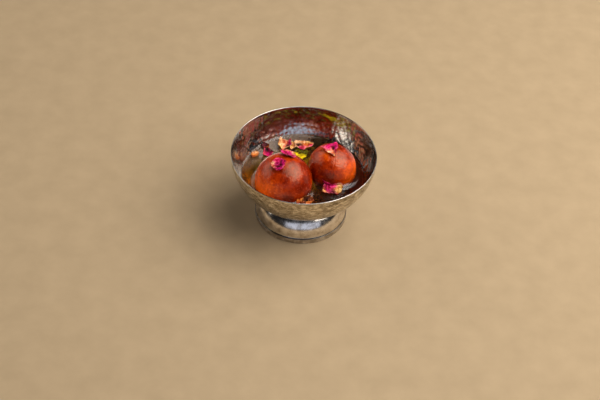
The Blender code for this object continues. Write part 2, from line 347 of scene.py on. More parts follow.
def cup_outline():
    """Up the outside from the lowest point, over the lip, and down the inside, close-set above the syrup."""
    waterline = math.degrees(math.asin((SYRUP_LEVEL - SHOULDER) / INNER_DEPTH))
    outside = arc((0, SHOULDER), (RIM_RADIUS, OUTER_DEPTH), -90, 0, steps=40)
    lip = arc((RIM_RADIUS - LIP_WALL / 2, SHOULDER), (LIP_WALL / 2, LIP_HEIGHT), 0, 180, steps=10)
    wall = arc((0, SHOULDER), (INNER_RADIUS, INNER_DEPTH), 0, waterline, steps=46)
    wall = [(r + (CUP_WALL - LIP_WALL) * math.exp((z - SHOULDER) / LIP_FLARE), z) for r, z in wall]
    floor = arc((0, SHOULDER), (INNER_RADIUS, INNER_DEPTH), waterline, -90, steps=50)
    points = outside + lip[1:] + wall[1:] + floor[1:]
    plain = len(outside) + len(lip) - 1
    share = [0.0] * plain
    for _, z in points[plain:]:
        begun = held((SHOULDER - z) / MARKS_GROW - PLAIN_LIP)
        covered = held((SYRUP_LEVEL - z) / MARKS_GROW)
        share.append(max(LEAST_HAMMERED, begun * (1 - MARKS_FADE * covered)))
    return outline_mesh("cup_outline", points, share)


cup = new_piece("cup_hammered", cup_outline())
shape_with(cup, spinning, segments=540, material=steel)
shape_with(cup, hammering, material=steel)
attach(cup, "root")
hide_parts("cup")

# ---------------------------------------------------------------------------------------------
# The foot: a domed skirt of thinner steel on an upright band, with a small step between them.
# It is spun in one piece and soldered under the cup, and the solder shows as a thin fillet.
# ---------------------------------------------------------------------------------------------
FOOT_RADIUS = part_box("foot_ring")[1].x
FOOT_BAND = 4.6 * MM  # height of the upright band
FOOT_STEP = 0.6 * MM
FOOT_WALL = 1.0 * MM
FOOT_LIP = 2.0 * MM  # how far the resting lip is turned in
FOOT_ROUNDING = 0.25 * MM
DOME_RADIUS = 19.9 * MM
DOME_CENTRE = (14.5 * MM, FOOT_BAND)
DOME_SPAN = (3, 49)  # degrees up its curve, from the step to the solder
INSIDE_SPAN = (54, 0)  # and down again inside
FILLET_PULL = (26.6 * MM, 20.5 * MM)  # the corner that the solder fills, as (radius, height)
FILLET_TOP = 28.4 * MM  # radius at which the solder ends on the cup
FILLET_STEPS = 8
INTO_CUP = 0.35 * MM  # how far the hidden top of the foot is sunk into the cup's metal
HIDDEN_TOP = (28.2 * MM, 25.5 * MM)  # its outer and inner radius

BAND_BLEND = 0.5 * MM  # the band's finish turns into the dome's over twice this height
BAND_DARKER = -0.13  # how far its colour moves down the tones
BAND_ROUGHNESS = 0.42
DOME_ROUGHNESS = (0.13, 0.25)
FOOT_TONES = [(0.3, (0.40, 0.34, 0.27)), (0.6, (0.86, 0.80, 0.72))]
# painted shade: a near-black colour painted along the step between the band and the dome, where shade falls
# in the recess
STEP_PAINTED_SHADE = (0.03, 0.025, 0.02, 1.0)


def under_cup(radius, sunk=0.0):
    """A point on the cup's outer skin at a radius, or sunk a little into its metal."""
    height = SHOULDER - OUTER_DEPTH * math.sqrt(1 - (radius / RIM_RADIUS) ** 2)
    return (radius, height + sunk)


def foot_outline():
    """From the resting lip out and up the band, over the step, up the dome to the cup, and back inside."""
    corner = FOOT_RADIUS - FOOT_ROUNDING
    top = FOOT_BAND - FOOT_STEP / 2
    rounding = (FOOT_ROUNDING, FOOT_ROUNDING)
    dome = arc(DOME_CENTRE, (DOME_RADIUS, DOME_RADIUS), *DOME_SPAN, steps=60)
    root = dome[-1]
    crest = under_cup(FILLET_TOP)
    fillet = []
    for step in range(1, FILLET_STEPS + 1):
        t = step / FILLET_STEPS
        fillet.append(tuple(
            (1 - t) ** 2 * root[i] + 2 * t * (1 - t) * FILLET_PULL[i] + t * t * crest[i] for i in (0, 1)
        ))
    points = [(FOOT_RADIUS - FOOT_LIP, 0.0)]
    points += arc((corner, FOOT_ROUNDING), rounding, -90, 0, steps=6)
    points += arc((corner, top - FOOT_ROUNDING), rounding, 0, 90, steps=6)
    points += dome + fillet
    points += [under_cup(radius, INTO_CUP) for radius in HIDDEN_TOP]
    inner = DOME_RADIUS - FOOT_WALL
    points += arc(DOME_CENTRE, (inner, inner), *INSIDE_SPAN, steps=40)
    points.append((FOOT_RADIUS - FOOT_LIP, 0.0))
    return outline_mesh("foot_outline", points)


def foot_steel():
    """Polished on the dome and dulled by knocks, matt and darker on the band, with painted shade along the
    step.
    """
    material, tree, shader, where = new_material("foot_steel")
    height = part_of(tree, where, "Z")
    lines = streaks_of(tree, where, (80.0, 80.0, 2200.0), 3.0)
    blotches = clouds_of(tree, where, 210.0, 5.0, 0.65)
    blend = (FOOT_BAND - BAND_BLEND, FOOT_BAND + BAND_BLEND)
    dulled = span_of(tree, blotches, 0.35, 0.7, *DOME_ROUGHNESS)
    matt = span_of(tree, height, *blend, BAND_ROUGHNESS, 0.0)
    darker = span_of(tree, height, *blend, BAND_DARKER, 0.0)
    tone = ramp_of(tree, sum_of(tree, "ADD", blotches, darker), FOOT_TONES)
    # painted shade: the colour turns to that near black within a fraction of a millimetre of the step
    from_step = sum_of(tree, "ABSOLUTE", sum_of(tree, "SUBTRACT", height, FOOT_BAND))
    outside_step_shade = span_of(tree, from_step, 0.2 * MM, 0.8 * MM)
    dents = sum_of(tree, "ADD", blotches, sum_of(tree, "MULTIPLY", lines, 0.3))
    set_inputs(tree, shader, {
        "Base Color": mix_of(tree, "RGBA", outside_step_shade, STEP_PAINTED_SHADE, tone),
        "Metallic": 1.0,
        "Roughness": sum_of(tree, "MAXIMUM", dulled, matt),
        "Normal": bump_of(tree, dents, 0.4, 0.05 * MM),
    })
    return material


foot = new_piece("foot_turned", foot_outline())
shape_with(foot, spinning, segments=300, material=foot_steel())
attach(foot, "root")
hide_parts("foot_ring")

# ---------------------------------------------------------------------------------------------
# The dumplings: milk-powder dough rolled by hand and fried dark, then soaked in the syrup.
# Their skin is finely wrinkled and pitted, mottled from orange to brown, and wet all over; light on their
# outer flanks and tops is painted in paler.
# ---------------------------------------------------------------------------------------------
LUMP = 0.012  # how far the two soft lumps round a dumpling stand out, as a share of its radius
LEAN = 0.010  # and how far its top leans over
CREASE_PLACE = 0.07  # how far right of the middle the rolled seam lies, as a share of the radius
CREASE_WANDER = 0.03  # how far it wanders from there
CREASE_WIDTH = 0.020
PAINTED_FLANK_LIGHT = 0.42  # painted light: how much paler a dumpling is painted low on its outer side, for light thrown back onto it by the bowl's wall
PAINTED_TOP_LIGHT = 0.12  # and painted light on its top
FLANK_FADE = 1.2  # how fast the pale flank fades towards the top
TOP_LEAN = 1.2  # how much more of the painted light on the top lies to the left, away from the key lights
DUMPLINGS = {  # its flattening, the turn of its lumps, its skin, its seam, its outer side, and how pale it is
    "jamun_large": {"flat": 0.03, "phase": 0.6, "seed": 4.0, "crease": 0.0, "outer": -1, "pale": 0.01},
    "jamun_small": {"flat": 0.02, "phase": 2.3, "seed": 11.0, "crease": 0.12 * MM, "outer": 1, "pale": 0.03},
}
for name, ball in DUMPLINGS.items():
    low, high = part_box(name)
    ball["centre"] = (low + high) / 2
    ball["radius"] = (high.z - low.z) / 2 / (1 - ball["flat"])

DOUGH_TONES = [
    (0.34, (0.10, 0.003, 0.0)),
    (0.50, (0.20, 0.009, 0.0)),
    (0.63, (0.44, 0.032, 0.0)),
    (0.80, (0.92, 0.120, 0.001)),
]
DOUGH_ROUGHNESS = (0.16, 0.30)


def ball_radius(ball, direction):
    """Radius of a hand-rolled dumpling: slightly flattened, with two soft lumps round it."""
    azimuth = math.atan2(direction.y, direction.x)
    height = direction.z
    lumps = LUMP * math.cos(2 * azimuth + ball["phase"]) * (1 - height * height)
    lean = LEAN * height * math.cos(azimuth - ball["phase"])
    return ball["radius"] * (1 - ball["flat"] * height * height + lumps + lean)


def crease_at(ball, direction):
    """How far the skin is drawn in along the seam left where the dough was rolled shut, high on the front."""
    wander = CREASE_WANDER * math.sin(7 * direction.z + 1.0)
    aside = (direction.x - CREASE_PLACE - wander) / CREASE_WIDTH
    seen = held(-4 * direction.y - 1.2) * held(8 * direction.z - 2.4)
    swollen = 0.6 * math.exp(-(aside - 1.8) ** 2)
    return ball["crease"] * seen * (math.exp(-aside ** 2) - swollen)


def paleness_with_painted_light(ball, direction):
    """How much paler the skin is painted: each dumpling's own tone, plus painted light low on the outer flank
    and on the top.
    """
    flank = max(0.0, ball["outer"] * direction.x) * max(0.0, 1 - FLANK_FADE * max(0.0, direction.z))
    top = direction.z ** 2 * (1 - TOP_LEAN * direction.x)
    return ball["pale"] + PAINTED_FLANK_LIGHT * flank + PAINTED_TOP_LIGHT * top


def skin_tree():
    """Wrinkles and pits the skin of a fried dumpling."""
    tree, given = new_tree("fried_skin", {
        "Swell": ("Float", 0.25 * MM),
        "Swell Scale": ("Float", 85.0),
        "Wrinkle": ("Float", 0.13 * MM),
        "Wrinkle Scale": ("Float", 420.0),
        "Pit": ("Float", 0.12 * MM),
        "Pit Scale": ("Float", 520.0),
        "Patch Scale": ("Float", 160.0),
        "Seed": ("Float", 1.0),
        "Material": ("Material", None),
    })
    place = add_node(tree, "GeometryNodeInputPosition").outputs[0]
    seeded = add_node(tree, "ShaderNodeCombineXYZ", {"X": given["Seed"], "Y": 0.0, "Z": given["Seed"]})
    moved = moved_by(tree, place, seeded.outputs[0])
    swell = sum_of(tree, "SUBTRACT", clouds_of(tree, moved, given["Swell Scale"], 1.0), 0.62)
    folds = sum_of(tree, "SUBTRACT", clouds_of(tree, moved, given["Wrinkle Scale"], 3.0, 0.6, 0.8), 0.5)
    wrinkles = span_of(tree, sum_of(tree, "ABSOLUTE", folds), 0.0, 0.08, 1.0, 0.0)
    holes = add_node(tree, "ShaderNodeTexVoronoi", {
        "Vector": moved, "Scale": given["Pit Scale"], "Randomness": 1.0,
    })
    patches = span_of(tree, clouds_of(tree, moved, given["Patch Scale"], 1.0), 0.45, 0.62)
    pits = sum_of(tree, "MULTIPLY", span_of(tree, holes.outputs["Distance"], 0.10, 0.34, 1.0, 0.0), patches)
    height = sum_of(tree, "MULTIPLY", swell, given["Swell"])
    height = sum_of(tree, "SUBTRACT", height, sum_of(tree, "MULTIPLY", wrinkles, given["Wrinkle"]))
    height = sum_of(tree, "SUBTRACT", height, sum_of(tree, "MULTIPLY", pits, given["Pit"]))
    end_tree(tree, pushed_out(tree, given["Geometry"], height), given["Material"])
    return tree


def fried_dough():
    """Fried dough under a coat of syrup: painted paler orange where light falls on the outer flanks and tops,
    dark red-brown elsewhere, so the shade between the two dumplings is painted too.
    """
    material, tree, shader, where = new_material("fried_dough")
    clouds = clouds_of(tree, where, 75.0, 3.0, 0.55)
    grain = clouds_of(tree, where, 520.0, 4.0, 0.7)
    # painted light: the pale attribute holds each dumpling's own tone plus light painted onto its outer flank
    # and top
    pale = add_node(tree, "ShaderNodeAttribute", attribute_name="pale").outputs["Fac"]
    mottle = sum_of(tree, "MULTIPLY", clouds, 0.68)
    mottle = sum_of(tree, "ADD", mottle, sum_of(tree, "MULTIPLY", grain, 0.32))
    set_inputs(tree, shader, {
        "Base Color": ramp_of(tree, sum_of(tree, "ADD", mottle, pale), DOUGH_TONES),
        "Roughness": span_of(tree, grain, 0.3, 0.7, *DOUGH_ROUGHNESS),
        "Subsurface Weight": 0.12,
        "Subsurface Radius": (1.0, 0.35, 0.12),
        "Subsurface Scale": 1.5 * MM,
        "IOR": 1.6,
        "Specular IOR Level": 0.60,
        "Specular Tint": (0.68, 0.50, 0.34, 1.0),
        "Normal": bump_of(tree, grain, 0.6, 0.10 * MM),
    })
    return material


frying = skin_tree()
dough = fried_dough()
jamuns = []
for name, ball in DUMPLINGS.items():
    bm = bmesh.new()
    bmesh.ops.create_icosphere(bm, subdivisions=7, radius=1.0)
    for vert in bm.verts:
        direction = vert.co.normalized()
        vert.co = ball["centre"] + direction * (ball_radius(ball, direction) - crease_at(ball, direction))
    mesh = bpy.data.meshes.new(name + "_fried")
    bm.to_mesh(mesh)
    bm.free()
    # painted light: each point's paleness, with light painted onto the outer flank and top
    pale = mesh.attributes.new("pale", "FLOAT", "POINT")
    pale.data.foreach_set("value", [
        paleness_with_painted_light(ball, (vert.co - ball["centre"]).normalized()) for vert in mesh.vertices
    ])
    jamun = new_piece(name + "_fried", mesh)
    shape_with(jamun, frying, seed=ball["seed"], material=dough)
    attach(jamun, "root")
    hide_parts(name)
    jamuns.append(jamun)

# ---------------------------------------------------------------------------------------------
# The syrup: clear, dark amber sugar syrup, poured in until the dumplings stand half out of it.
# It wets the steel and the dumplings, so its surface climbs a little wherever it meets them.
# A faint haze that scatters light is painted in only at the back left as a sheen, where it is lit, and left
# out where it would be in shade.
# ---------------------------------------------------------------------------------------------
WALL_CLIMB = 1.5 * MM
WALL_REACH = 1.9 * MM
BALL_CLIMB = 2.5 * MM
BALL_REACH = 2.2 * MM
INTO_WALL = 0.3 * MM
TOP_STEPS = 104

SYRUP_TINT = (1.0, 0.93, 0.80, 1.0)
SYRUP_DEPTH_TINT = (0.965, 0.89, 0.20, 1.0)
SYRUP_DENSITY = 210.0  # how fast that tint deepens with the metres that light goes through
SYRUP_ROUGHNESS = (0.07, 0.14)
# painted sheen: a scattering haze kept to the back left, where the syrup is lit, and left out where shade
# would fall
HAZE_SHEEN_TINT = (1.0, 0.58, 0.36, 1.0)
HAZE_SHEEN_TURN = math.radians(42)  # the painted sheen of haze lies this far round from the back to the left
HAZE_SHEEN_EDGE = 31.5 * MM  # it begins this far from the middle
HAZE_SHEEN_BLEND = 5 * MM
HAZE_SHEEN_WAVER = 8 * MM
HAZE_SHEEN_SHARE = (0.004, 0.065)  # how much of the light it scatters, outside and inside its edge


def climbing_tree():
    """Draws the top of the syrup up the sides of the dumplings."""
    tree, given = new_tree("syrup_climb", {
        "Dumpling A": ("Object", None),
        "Dumpling B": ("Object", None),
        "Level": ("Float", SYRUP_LEVEL),
        "Climb": ("Float", BALL_CLIMB),
        "Reach": ("Float", BALL_REACH),
        "Material": ("Material", None),
    })
    place = add_node(tree, "GeometryNodeInputPosition").outputs[0]
    near = []
    for label in ("Dumpling A", "Dumpling B"):
        other = add_node(tree, "GeometryNodeObjectInfo", {"Object": given[label]}, transform_space="RELATIVE")
        gap = add_node(tree, "GeometryNodeProximity", {
            0: other.outputs["Geometry"], "Source Position": place,
        }, target_element="FACES")
        near.append(gap.outputs["Distance"])
    away = sum_of(tree, "MULTIPLY", sum_of(tree, "MINIMUM", *near), -1.0)
    fall = sum_of(tree, "EXPONENT", sum_of(tree, "DIVIDE", away, given["Reach"]))
    under = sum_of(tree, "SUBTRACT", given["Level"], 0.2 * MM)
    on_top = span_of(tree, part_of(tree, place, "Z"), under, given["Level"])
    rise = sum_of(tree, "MULTIPLY", sum_of(tree, "MULTIPLY", fall, given["Climb"]), on_top)
    drawn = add_node(tree, "GeometryNodeSetPosition", {
        "Geometry": given["Geometry"],
        "Offset": add_node(tree, "ShaderNodeCombineXYZ", {"Z": rise}).outputs[0],
    })
    end_tree(tree, drawn.outputs[0], given["Material"])
    return tree


def syrup_outline():
    """Up the wall from the lowest point to the climbing edge, then in across the top."""
    radius = INNER_RADIUS + INTO_WALL
    depth = INNER_DEPTH + INTO_WALL
    edge = math.degrees(math.asin((SYRUP_LEVEL + WALL_CLIMB - SHOULDER) / depth))
    points = arc((0, SHOULDER), (radius, depth), -90, edge, steps=60)
    reach = points[-1][0]
    for step in range(1, TOP_STEPS + 1):
        r = reach * (1 - step / TOP_STEPS)
        climb = WALL_CLIMB * math.exp(-(reach - INTO_WALL - r) / WALL_REACH)
        points.append((r, SYRUP_LEVEL + min(WALL_CLIMB, climb)))
    return outline_mesh("syrup_outline", points)


def amber_syrup():
    """Clear syrup that takes up blue and green light as it gets deeper, with a painted sheen: a faint
    scattering haze only at the back left.
    """
    material, tree, shader, where = new_material("amber_syrup")
    film = clouds_of(tree, where, 55.0, 2.0)
    set_inputs(tree, shader, {
        "Base Color": SYRUP_TINT,
        "Roughness": span_of(tree, film, 0.3, 0.7, *SYRUP_ROUGHNESS),
        "Transmission Weight": 1.0,
        "IOR": 1.46,
    })
    turned = add_node(tree, "ShaderNodeMapping", {
        "Vector": where, "Rotation": (0.0, 0.0, HAZE_SHEEN_TURN),
    }, vector_type="TEXTURE").outputs[0]
    wavering = sum_of(tree, "MULTIPLY", film, HAZE_SHEEN_WAVER)
    from_middle = sum_of(tree, "ADD", part_of(tree, turned, "Y"), wavering)
    # painted sheen: the haze only where the back left of the syrup is lit
    haze_sheen = add_node(tree, "ShaderNodeBsdfDiffuse", {"Color": HAZE_SHEEN_TINT})
    surface = add_node(tree, "ShaderNodeMixShader", {
        0: span_of(tree, from_middle, HAZE_SHEEN_EDGE, HAZE_SHEEN_EDGE + HAZE_SHEEN_BLEND, *HAZE_SHEEN_SHARE),
        1: shader.outputs[0],
        2: haze_sheen.outputs[0],
    })
    volume = add_node(tree, "ShaderNodeVolumeAbsorption", {
        "Color": SYRUP_DEPTH_TINT, "Density": SYRUP_DENSITY,
    })
    set_inputs(tree, tree.nodes["Material Output"], {
        "Surface": surface.outputs[0], "Volume": volume.outputs[0],
    })
    return material


amber = amber_syrup()
syrup = new_piece("syrup_poured", syrup_outline())
shape_with(syrup, spinning, segments=420, material=amber)
shape_with(syrup, climbing_tree(), dumpling_a=jamuns[0], dumpling_b=jamuns[1], material=amber)
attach(syrup, "root")
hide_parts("syrup")

# ---------------------------------------------------------------------------------------------
# The petals: whole dried rose petals and a few broken bits, dropped on at the end.
# They dried crumpled, magenta with cream claws and edges, and they cling where the syrup is wet.
# ---------------------------------------------------------------------------------------------
PETAL_GRID = 36
PETAL_THICKNESS = 0.26 * MM
PETAL_WIDEST = 0.625  # v at which the petal has widened out
PETAL_NARROWS = 0.6  # v from which it narrows to its tip
TIP_ROUNDING = 0.12  # how far the tip's corners are set back, as a share of the length
RAGGED = 0.10  # how far the sides waver, as a share of the width
RAGGED_WAVE = (2.0, 7.0, 2.3)  # its rate with u, with v, and with the petal's phase
CRUMPLE_WAVES = ((4.1, 3.7, 1.0), (-2.9, 5.3, 2.0))  # two crossing waves, with the same three rates
FINE_CRUMPLE = 0.9  # the fine crumpling's height, as a share of those waves' height
LEAST_CRUMPLE = 0.2  # a petal with lower waves still has fine crumpling as if they were this high
CRUMPLE_SCALE = 0.30  # how fast the fine crumpling and the fray change, for each millimetre
CREST_SHARPNESS = 3.2
HOLLOW_DEEPER = 0.8  # how much stronger the dye is in a hollow, and how much darker it is painted as painted shade
HOLLOW_PAINTED_SHADE = 0.45
FRAY = 0.7  # how far the edge is frayed, in millimetres
FRAY_SCALE = 2.4
RIM_FROM = 0.90  # how far out the rim's own dye begins, as a share of the half width
RIM_SHARE = 0.7  # how much of that dye the very edge has
LEAN_UPRIGHT = 0.5  # how far a petal's thickness leans from its own normal to its up direction
DYE_BLEND = 0.04  # how softly a petal's dyes run into each other
UNDERSIDE_PAINTED_SHADE = 0.9  # painted shade: brightness of the dye on the underside, which is turned away from the light
CONTACT = 0.03 * MM  # the gap under a petal that lies on something
SOAKED_HEIGHT = 0.25  # share of its height that a soaked petal keeps
SOAKED_RISE = 0.15 * MM  # how far its dry end stands out of the syrup
DYES = {
    "magenta": (0.60, 0.004, 0.16),
    "hot": (0.92, 0.025, 0.25),
    "pink": (0.90, 0.17, 0.24),
    "salmon": (0.95, 0.32, 0.18),
    "cream": (1.0, 0.60, 0.33),
    "butter": (1.0, 0.62, 0.22),
    "orange": (0.80, 0.26, 0.04),
    "crimson": (0.20, 0.001, 0.035),
    "maroon": (0.075, 0.006, 0.016),
    "russet": (0.32, 0.085, 0.022),
    "brown": (0.06, 0.012, 0.004),
    "yellow": (0.92, 0.66, 0.004),
    "olive": (0.30, 0.26, 0.006),
}


def syrup_height(point):
    """Height of the syrup's surface, with its climb beside the dumplings."""
    gaps = []
    for ball in DUMPLINGS.values():
        offset = point - ball["centre"]
        round_it = Vector((offset.x, offset.y, 0)).normalized()
        at_level = math.sqrt(ball_radius(ball, round_it) ** 2 - (ball["centre"].z - SYRUP_LEVEL) ** 2)
        gaps.append(max(0.0, math.hypot(offset.x, offset.y) - at_level))
    return SYRUP_LEVEL + BALL_CLIMB * math.exp(-min(gaps) / BALL_REACH)


def settled(point):
    """Lift a point until it is clear of the syrup and of both dumplings."""
    point.z = max(point.z, syrup_height(point) + CONTACT)
    for ball in DUMPLINGS.values():
        offset = point - ball["centre"]
        direction = offset.normalized()
        least = ball_radius(ball, direction) + CONTACT
        if offset.length < least:
            point = ball["centre"] + direction * least
    return point


def soaked(point, near, far, depth):
    """Where a flattened petal lies half under the syrup: just out of it at one end, sunk at the other."""
    share = held((point.y - near * MM) / ((far - near) * MM))
    flattened = (point.z - SYRUP_LEVEL) * SOAKED_HEIGHT
    point.z = SYRUP_LEVEL + flattened + SOAKED_RISE - depth * share * MM
    return point


def petal_frame(place, ball, heading):
    """Where a petal lies: its across, along and up directions, and its middle."""
    if ball:
        out = Vector((place[0], place[1], 0)) * MM - Vector((ball["centre"].x, ball["centre"].y, 0))
        up = Vector((out.x, out.y, math.sqrt(ball["radius"] ** 2 - out.length_squared))).normalized()
        middle = ball["centre"] + up * ball_radius(ball, up)
    else:
        up = Vector((0, 0, 1))
        middle = Vector((place[0] * MM, place[1] * MM, SYRUP_LEVEL))
    turn = math.radians(heading)
    along = Vector((math.cos(turn), math.sin(turn), 0))
    along = (along - up * along.dot(up)).normalized()
    return Matrix((along.cross(up), along, up)).transposed(), middle


def tint_at(patches, u, v):
    """Colour at a place on a petal, blended from its patches of (across, along, dye)."""
    total = 0.0
    blend = Vector((0, 0, 0))
    for across, along, dye in patches:
        near = (u - across) ** 2 + (2 * (v - along)) ** 2
        weight = 1 / (near + DYE_BLEND) ** 2
        blend += Vector(DYES[dye]) * weight
        total += weight
    return blend / total


def pleat(angle):
    """A wave with straight flanks and sharp crests."""
    return math.asin(math.sin(angle)) * 2 / math.pi


def wave(rates, u, v, phase):
    """The angle of a wave at a place on a petal."""
    return rates[0] * u + rates[1] * v + rates[2] * phase


def petal_width(v, base, straight, tip):
    """Share of a petal's width at v: from its base it swells out, or widens evenly, and then narrows."""
    swell = math.sin(math.pi / 2 * min(v / PETAL_WIDEST, 1))
    opened = straight * v + (1 - straight) * swell
    narrowed = max(0, (v - PETAL_NARROWS) / (1 - PETAL_NARROWS)) ** 2
    return base + (1 - base) * opened - (1 - tip) * narrowed


def crests(spot):
    """Fine crumpling with sharp crests: 1 on a crest, and down to about -0.6 in a hollow."""
    coarse = 1 - CREST_SHARPNESS * abs(noise.noise(spot * 1.3))
    fine = 1 - CREST_SHARPNESS * abs(noise.noise(spot * 3.1 + Vector((9, 0, 0))))
    return 0.6 * coarse + 0.4 * fine


def deepened_and_shaded(colour, amount):
    """A dye as it shows in a hollow: stronger, where more of it has gathered, and darker, as painted shade.
    """
    power = 1 + HOLLOW_DEEPER * amount
    return Vector([channel ** power for channel in colour]) * (1 - HOLLOW_PAINTED_SHADE * amount)


def petal(name, place, heading, length, width, patches, ball=None, base=0.35, straight=0.0, tip=0.6,
          point=0.0, pinch=0.0, cup_up=1.5, curl=1.5, fold=0.0, crumple=0.5, phase=0.0, lift=0.0,
          lean=0.0, rim="pink", sunk=None):
    """A dried petal as a thin closed skin, in the place and outline of its solid, dyed at each point, with
    painted shade in its hollows.

    u runs across it from -1 to 1, and v along it from 0 at its base to 1 at its tip. Its place, length,
    width and heights are in millimetres.
    """
    sheet = []
    tints = []
    for row in range(PETAL_GRID + 1):
        v = row / PETAL_GRID
        spread = petal_width(v, base, straight, tip)
        line = []
        for column in range(PETAL_GRID + 1):
            u = 2 * column / PETAL_GRID - 1
            ragged = 1 + RAGGED * math.sin(wave(RAGGED_WAVE, u, v, phase))
            across = width / 2 * u * spread * ragged
            corner = point * abs(u) ** 3 * v ** 4 - TIP_ROUNDING * u * u * v
            forward = length * ((v - 0.5) * (1 - pinch * max(0, u) ** 2) + corner)
            spot = Vector((across * CRUMPLE_SCALE, forward * CRUMPLE_SCALE, phase * 3))
            edge = max(abs(u), 2 * v - 1)
            across += noise.noise(spot * FRAY_SCALE) * edge ** 3 * FRAY
            forward += noise.noise(spot * FRAY_SCALE + Vector((5, 5, 5))) * edge ** 3 * FRAY
            relief = crests(spot)
            rise = cup_up * u * u + curl * (2 * max(0, v - 0.5)) ** 2 + lift * (1 - v) ** 2
            rise += fold * (1 - abs(u)) * math.sin(math.pi * v) + lean * u / 2
            first, second = (wave(rates, u, v, phase) for rates in CRUMPLE_WAVES)
            rise += crumple * pleat(first) * pleat(second + math.pi / 2)
            rise += FINE_CRUMPLE * max(LEAST_CRUMPLE, crumple) * relief
            line.append(Vector((across, forward, rise)))
            worn = held(10 * (edge - RIM_FROM) + 1.5 * noise.noise(spot * 1.7))
            dye = tint_at(patches, u, v).lerp(Vector(DYES[rim]), RIM_SHARE * worn)
            # painted shade: the dye is darkened in the crumpled hollows
            tints.append(deepened_and_shaded(dye, held(0.7 - relief)))
        sheet.append(line)
    lowest = min(spot.z for line in sheet for spot in line)
    turn, middle = petal_frame(place, ball, heading)
    rows = []
    for line in sheet:
        for spot in line:
            spot.z -= lowest
            if ball:
                spot.z -= (spot.x ** 2 + spot.y ** 2) / (2 * ball["radius"] / MM)
        placed = [middle + turn @ (spot * MM) for spot in line]
        rows.append([soaked(spot, *sunk) if sunk else settled(spot) for spot in placed])
    return petal_skin(name, rows, turn @ Vector((0, 0, 1)), tints)


def petal_skin(name, rows, up, tints):
    """Give a grid of points a thickness on its upper side, close its edge, and note its colours."""
    last_row = len(rows) - 1
    last_column = len(rows[0]) - 1
    bm = bmesh.new()
    lower = []
    upper = []
    for r, line in enumerate(rows):
        low_line = []
        high_line = []
        for c, point in enumerate(line):
            across = line[min(c + 1, last_column)] - line[max(c - 1, 0)]
            along = rows[min(r + 1, last_row)][c] - rows[max(r - 1, 0)][c]
            normal = across.cross(along).normalized()
            if normal.dot(up) < 0:
                normal.negate()
            normal = (normal + up * LEAN_UPRIGHT).normalized()
            low_line.append(bm.verts.new(point))
            high_line.append(bm.verts.new(point + normal * PETAL_THICKNESS))
        lower.append(low_line)
        upper.append(high_line)
    for r in range(last_row):
        for c in range(last_column):
            bm.faces.new((lower[r][c], lower[r + 1][c], lower[r + 1][c + 1], lower[r][c + 1]))
            bm.faces.new((upper[r][c], upper[r][c + 1], upper[r + 1][c + 1], upper[r + 1][c]))
    ring = [(0, c) for c in range(last_column)]
    ring += [(r, last_column) for r in range(last_row)]
    ring += [(last_row, c) for c in range(last_column, 0, -1)]
    ring += [(r, 0) for r in range(last_row, 0, -1)]
    for (r0, c0), (r1, c1) in zip(ring, ring[1:] + ring[:1]):
        bm.faces.new((lower[r0][c0], lower[r1][c1], upper[r1][c1], upper[r0][c0]))
    bmesh.ops.recalc_face_normals(bm, faces=bm.faces)
    mesh = bpy.data.meshes.new(name)
    bm.verts.index_update()
    bm.to_mesh(mesh)
    bm.free()
    mesh.shade_smooth()
    tint = mesh.color_attributes.new("petal_tint", "FLOAT_COLOR", "POINT")
    for index, colour in enumerate(tints):
        # painted shade: the lower skin takes a darkened dye
        tint.data[2 * index].color = (*(colour * UNDERSIDE_PAINTED_SHADE), 1.0)
        tint.data[2 * index + 1].color = (*colour, 1.0)
    return new_piece(name, mesh)


def dried_petal():
    """Papery petal flesh with fine specks, a little see-through where the light is behind it."""
    material, tree, shader, where = new_material("dried_petal")
    tint = add_node(tree, "ShaderNodeAttribute", attribute_name="petal_tint").outputs["Color"]
    specks = clouds_of(tree, where, 900.0, 3.0, 0.65)
    set_inputs(tree, shader, {
        "Base Color": scaled_by(tree, tint, span_of(tree, specks, 0.35, 0.65, 0.75, 1.15)),
        "Roughness": 0.6,
        "Specular IOR Level": 0.12,
        "Subsurface Weight": 0.2,
        "Subsurface Radius": (1.0, 0.3, 0.3),
        "Subsurface Scale": 0.4 * MM,
        "Normal": bump_of(tree, specks, 0.6, 0.08 * MM),
    })
    return material


